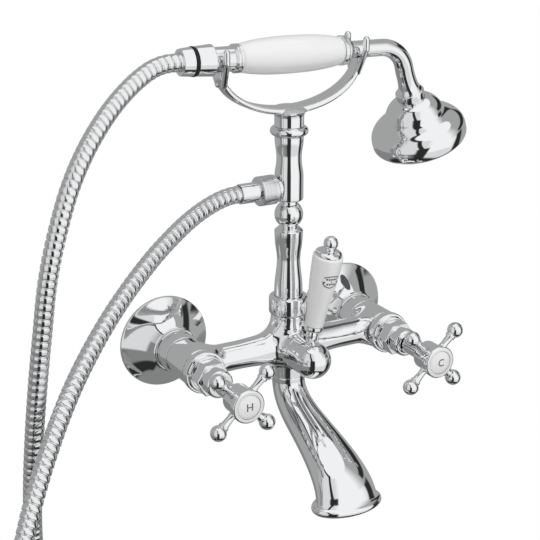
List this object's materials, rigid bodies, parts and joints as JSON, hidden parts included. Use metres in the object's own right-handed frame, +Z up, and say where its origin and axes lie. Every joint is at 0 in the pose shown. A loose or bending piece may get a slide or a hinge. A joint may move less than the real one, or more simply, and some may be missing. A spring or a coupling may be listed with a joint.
{
  "type": "bath shower mixer",
  "caption": "Wall-mounted chrome bath mixer with cross handles, a lever diverter, a swan spout and a porcelain-grip handset on a cradle with a metal hose.",
  "frame": {"origin": "midway between the two inlets, on the plane of the finished wall", "axes": "+Y into the wall, +Z up, +X to the right as seen from the bath"},
  "size_m": [0.4432, 0.2548, 0.62],
  "materials": {
    "chrome": "polished chrome plate on brass",
    "satin": "satin",
    "porcelain": "white glazed porcelain",
    "brass": "machined",
    "rubber": "matte",
    "ceramic": "ground ceramic",
    "face": "matte",
    "hose": "interlocked chrome strip"
  },
  "bodies": {
    "mixer": {"mixer_body": "chrome", "hot_union": "brass", "cold_union": "brass", "hot_flange": "chrome", "cold_flange": "chrome", "hot_union_nut": "chrome", "cold_union_nut": "chrome", "inlet_washers": "rubber", "seat_seals": "rubber", "hot_seat_disc": "ceramic", "cold_seat_disc": "ceramic", "hot_bonnet": "chrome", "cold_bonnet": "chrome", "hot_collar": "chrome", "cold_collar": "chrome", "hot_gland": "chrome", "cold_gland": "chrome", "diverter_bush": "brass", "spout": "chrome", "spout_seal": "rubber", "column_nut": "chrome", "column_washer": "rubber", "lower_column": "chrome", "hose_tee": "chrome", "cradle_ring": "chrome", "cradle": "chrome", "column_hose_nut": "satin", "column_hose_washer": "rubber", "column_hose_ferrule": "chrome", "shower_hose": "hose"},
    "hot_tap": {"hot_spindle": "brass", "hot_turn_disc": "ceramic", "hot_handle": "chrome", "hot_bezel": "chrome", "hot_index": "porcelain", "hot_handle_screw": "satin"},
    "cold_tap": {"cold_spindle": "brass", "cold_turn_disc": "ceramic", "cold_handle": "chrome", "cold_bezel": "chrome", "cold_index": "porcelain", "cold_handle_screw": "satin"},
    "diverter": {"diverter_spool": "brass", "diverter_seal": "rubber", "diverter_cap": "chrome", "cap_screw": "satin", "lever_rod": "chrome", "lever_grip": "porcelain", "lever_finial": "chrome"},
    "handset": {"handset_grip": "porcelain", "grip_ferrules": "chrome", "handset_inlet": "chrome", "handset_tube": "chrome", "head_collar": "chrome", "shower_head": "chrome", "head_face": "face", "cone_nut": "chrome", "handset_washer": "rubber", "swivel_ring": "rubber", "hose_swivel": "chrome"}
  },
  "joints": [
    {"name": "hot_handle_turn", "type": "hinge", "parent": "mixer", "child": "hot_tap", "pos_m": [-0.075, 0, 0], "axis": [0, -1, 0], "range_deg": [0, 90]},
    {"name": "cold_handle_turn", "type": "hinge", "parent": "mixer", "child": "cold_tap", "pos_m": [0.075, 0, 0], "axis": [0, 1, 0], "range_deg": [0, 90]},
    {"name": "diverter_turn", "type": "hinge", "parent": "mixer", "child": "diverter", "pos_m": [0, 0, 0], "axis": [0, 1, 0], "range_deg": [-50, 40]},
    {"name": "handset_lift", "type": "slide", "parent": "mixer", "child": "handset", "axis": [0, 0, 1], "range_m": [0, 0.08], "deforming": ["shower_hose"]}
  ]
}
